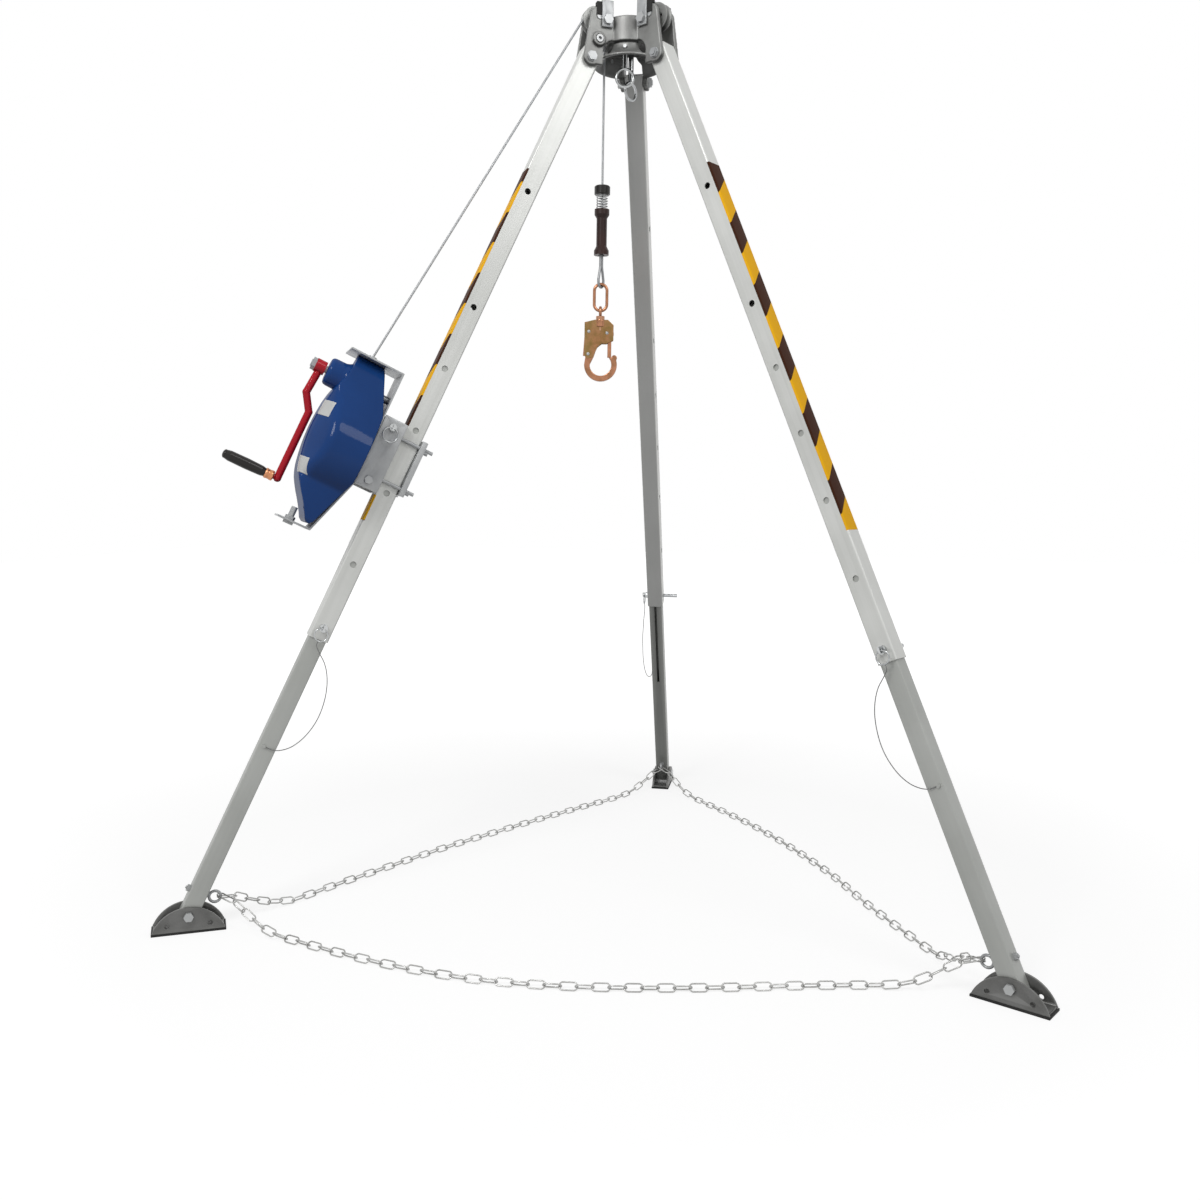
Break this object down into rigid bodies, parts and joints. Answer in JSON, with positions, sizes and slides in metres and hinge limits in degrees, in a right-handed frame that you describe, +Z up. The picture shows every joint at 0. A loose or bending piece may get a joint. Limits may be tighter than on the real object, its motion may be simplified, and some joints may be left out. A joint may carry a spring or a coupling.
{
  "type": "rescue tripod",
  "caption": "Folding tripod with telescopic square legs, swivel feet joined by chains, a head with sheaves and anchor eyes, and a leg-mounted crank winch whose line carries a snap hook.",
  "frame": {"origin": "on the floor under the axis of the head", "axes": "+Z up, +Y towards the back leg, +X to the right as the winch leg is on the left"},
  "size_m": [1.8462, 1.676, 2.0346],
  "materials": {
    "bright_aluminium": "satin",
    "grey_aluminium": "satin",
    "cast_alloy": "cast",
    "zinc_steel": "zinc plated",
    "chain_steel": "zinc plated",
    "wire_rope": "stranded",
    "gold_zinc": "yellow chromate",
    "blue_paint": "gloss",
    "red_paint": "gloss",
    "black_plastic": "moulded",
    "brown_grip": "moulded",
    "black_rubber": "matte",
    "dark_steel": "oiled"
  },
  "bodies": {
    "head": {"head_casting": "cast_alloy", "keeper_straps": "zinc_steel", "keeper_bolts": "zinc_steel", "sheave_axles": "zinc_steel", "hinge_bolts": "zinc_steel", "anchor_eyebolts": "zinc_steel", "head_screws": "zinc_steel", "foot_chains": "chain_steel", "lift_cable": "wire_rope"},
    "upper_left": {"upper_leg_left": "bright_aluminium", "lanyard_left": "wire_rope", "winch_frame": "zinc_steel", "winch_housing": "blue_paint", "drum_axle": "zinc_steel", "brake_discs": "dark_steel", "cable_guide": "zinc_steel", "leg_bracket": "zinc_steel", "clamp_strap": "zinc_steel", "winch_fasteners": "zinc_steel", "winch_cable": "wire_rope"},
    "upper_right": {"upper_leg_right": "bright_aluminium", "lanyard_right": "wire_rope"},
    "upper_back": {"upper_leg_back": "bright_aluminium", "lanyard_back": "wire_rope"},
    "crank": {"crank_shaft": "zinc_steel", "crank_arm": "red_paint"},
    "handle": {"crank_grip": "black_plastic"},
    "drum": {"winch_drum": "dark_steel"},
    "release": {"mount_pin": "zinc_steel"},
    "line_end": {"line_grip": "brown_grip", "line_spring": "zinc_steel", "cable_eye": "wire_rope", "hook_link": "gold_zinc", "hook_swivel": "gold_zinc"},
    "collar": {"line_collar": "black_plastic"},
    "hook": {"hook_body": "gold_zinc"},
    "gate": {"hook_gate": "gold_zinc"},
    "lever": {"hook_lever": "gold_zinc"},
    "lower_left": {"lower_leg_left": "grey_aluminium", "chain_eye_left": "zinc_steel"},
    "foot_left": {"foot_left": "cast_alloy", "sole_left": "black_rubber", "foot_bolt_left": "zinc_steel"},
    "pin_left": {"lock_pin_left": "zinc_steel"},
    "sheave_left": {"sheave_left": "cast_alloy"},
    "lower_right": {"lower_leg_right": "grey_aluminium", "chain_eye_right": "zinc_steel"},
    "foot_right": {"foot_right": "cast_alloy", "sole_right": "black_rubber", "foot_bolt_right": "zinc_steel"},
    "pin_right": {"lock_pin_right": "zinc_steel"},
    "sheave_right": {"sheave_right": "cast_alloy"},
    "lower_back": {"lower_leg_back": "grey_aluminium", "chain_eye_back": "zinc_steel"},
    "foot_back": {"foot_back": "cast_alloy", "sole_back": "black_rubber", "foot_bolt_back": "zinc_steel"},
    "pin_back": {"lock_pin_back": "zinc_steel"},
    "sheave_back": {"sheave_back": "cast_alloy"}
  },
  "joints": [
    {"name": "fold_left", "type": "hinge", "parent": "head", "child": "upper_left", "pos_m": [-0.0866, -0.05, 1.91256], "axis": [0.5, -0.866, 0], "range_deg": [0, 22.5], "deforming": ["foot_chains", "winch_cable"]},
    {"name": "fold_right", "type": "hinge", "parent": "head", "child": "upper_right", "pos_m": [0.0866, -0.05, 1.91256], "axis": [0.5, 0.866, 0], "range_deg": [0, 22.5], "deforming": ["foot_chains"]},
    {"name": "fold_back", "type": "hinge", "parent": "head", "child": "upper_back", "pos_m": [0, 0.1, 1.91256], "axis": [-1, 0, 0], "range_deg": [0, 22.5], "deforming": ["foot_chains"]},
    {"name": "extend_left", "type": "slide", "parent": "upper_left", "child": "lower_left", "axis": [0.366, 0.2113, 0.9063], "range_m": [0, 0.151], "deforming": ["foot_chains", "lanyard_left"]},
    {"name": "extend_right", "type": "slide", "parent": "upper_right", "child": "lower_right", "axis": [-0.366, 0.2113, 0.9063], "range_m": [0, 0.151], "deforming": ["foot_chains", "lanyard_right"]},
    {"name": "extend_back", "type": "slide", "parent": "upper_back", "child": "lower_back", "axis": [0, -0.4226, 0.9063], "range_m": [0, 0.151], "deforming": ["foot_chains", "lanyard_back"]},
    {"name": "tilt_left", "type": "hinge", "parent": "lower_left", "child": "foot_left", "pos_m": [-0.84422, -0.48741, 0.0365], "axis": [0.5, -0.866, 0], "range_deg": [-30, 30]},
    {"name": "tilt_right", "type": "hinge", "parent": "lower_right", "child": "foot_right", "pos_m": [0.84422, -0.48741, 0.0365], "axis": [0.5, 0.866, 0], "range_deg": [-30, 30]},
    {"name": "tilt_back", "type": "hinge", "parent": "lower_back", "child": "foot_back", "pos_m": [0, 0.97482, 0.0365], "axis": [-1, 0, 0], "range_deg": [-30, 30]},
    {"name": "pull_pin_left", "type": "slide", "parent": "upper_left", "child": "pin_left", "axis": [0.5, -0.866, 0], "range_m": [0, 0.095], "deforming": ["lanyard_left"]},
    {"name": "pull_pin_right", "type": "slide", "parent": "upper_right", "child": "pin_right", "axis": [-0.5, -0.866, 0], "range_m": [0, 0.095], "deforming": ["lanyard_right"]},
    {"name": "pull_pin_back", "type": "slide", "parent": "upper_back", "child": "pin_back", "axis": [-1, 0, 0], "range_m": [0, 0.095], "deforming": ["lanyard_back"]},
    {"name": "spin_sheave_right", "type": "hinge", "parent": "head", "child": "sheave_right", "pos_m": [0.07188, -0.0415, 2.00056], "axis": [0.5, 0.866, 0], "continuous": true},
    {"name": "spin_sheave_back", "type": "hinge", "parent": "head", "child": "sheave_back", "pos_m": [0, 0.083, 2.00056], "axis": [-1, 0, 0], "continuous": true},
    {"name": "turn_crank", "type": "hinge", "parent": "upper_left", "child": "crank", "pos_m": [-0.59909, -0.34588, 1.20429], "axis": [-0.7849, -0.4532, 0.4226], "range_deg": [-380, 2290]},
    {"name": "turn_drum", "type": "hinge", "parent": "upper_left", "child": "drum", "pos_m": [-0.54296, -0.31348, 1.04277], "axis": [-0.7849, -0.4532, 0.4226], "range_deg": [-830, 140]},
    {"name": "lift_hook", "type": "slide", "parent": "head", "child": "line_end", "axis": [0, 0, 1], "range_m": [-0.95, 0.16], "deforming": ["lift_cable"]},
    {"name": "spin_sheave_left", "type": "hinge", "parent": "head", "child": "sheave_left", "pos_m": [-0.07188, -0.0415, 2.00056], "axis": [0.5, -0.866, 0], "range_deg": [-2300, 420]},
    {"name": "spin_handle", "type": "hinge", "parent": "crank", "child": "handle", "pos_m": [-0.73365, -0.42357, 0.99649], "axis": [-0.7849, -0.4532, 0.4226], "continuous": true},
    {"name": "pull_release_pin", "type": "slide", "parent": "upper_left", "child": "release", "axis": [0.5, -0.866, 0], "range_m": [0, 0.11]},
    {"name": "press_collar", "type": "slide", "parent": "line_end", "child": "collar", "axis": [0, 0, 1], "range_m": [-0.016, 0], "stiffness_N_per_m": 1500, "springref_m": 0.004, "deforming": ["line_spring"]},
    {"name": "turn_hook", "type": "hinge", "parent": "line_end", "child": "hook", "pos_m": [-0.0511, -0.0295, 1.32316], "axis": [0, 0, 1], "continuous": true},
    {"name": "open_gate", "type": "hinge", "parent": "hook", "child": "gate", "pos_m": [-0.02943, -0.02568, 1.31716], "axis": [-0.1736, 0.9848, 0], "range_deg": [0, 22], "stiffness_Nm_per_rad": 0.15, "springref_deg": -11.46},
    {"name": "squeeze_lever", "type": "hinge", "parent": "hook", "child": "lever", "pos_m": [-0.07276, -0.03332, 1.32716], "axis": [0.1736, -0.9848, 0], "range_deg": [0, 4], "stiffness_Nm_per_rad": 0.3, "springref_deg": -8.59}
  ],
  "couplings": [
    {"joint": "turn_drum", "follows": "turn_crank", "ratio": -0.36},
    {"joint": "lift_hook", "follows": "turn_crank", "m_per_rad": -0.02358},
    {"joint": "spin_sheave_left", "follows": "turn_crank", "ratio": -0.9825}
  ]
}
